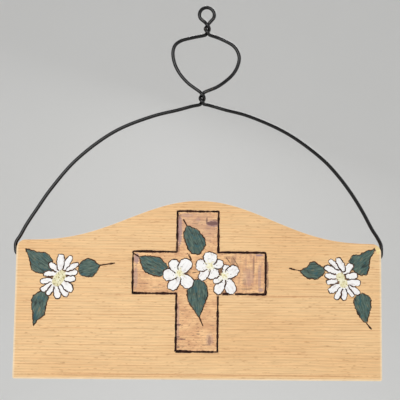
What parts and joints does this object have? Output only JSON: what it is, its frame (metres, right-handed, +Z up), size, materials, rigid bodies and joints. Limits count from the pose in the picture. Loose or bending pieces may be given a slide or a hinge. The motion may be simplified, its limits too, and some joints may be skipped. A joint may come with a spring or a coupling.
{
  "type": "hanging wooden plaque with a burned cross",
  "caption": "Small wooden wall plaque with a bell-shaped top, a burned cross and painted flowers on its front, hung from a twisted black wire hanger.",
  "frame": {"origin": "inside top of the wire's eye, where the nail bears", "axes": "+Z up, -Y out of the plaque's front, +Y to the wall, +X to the viewer's right"},
  "size_m": [0.2943, 0.0126, 0.3008],
  "materials": {
    "cedar": "bare planed softwood with burned lines and flat paint",
    "black_wire": "satin black coating"
  },
  "bodies": {
    "hanger": {"hanger_wire": "black_wire"},
    "plaque": {"plaque_board": "cedar"}
  },
  "joints": [
    {"name": "wire_swing", "type": "hinge", "parent": "hanger", "child": "plaque", "pos_m": [-0.0033, 0, -0.2025], "axis": [1, 0, 0], "range_deg": [-135, 135]}
  ]
}
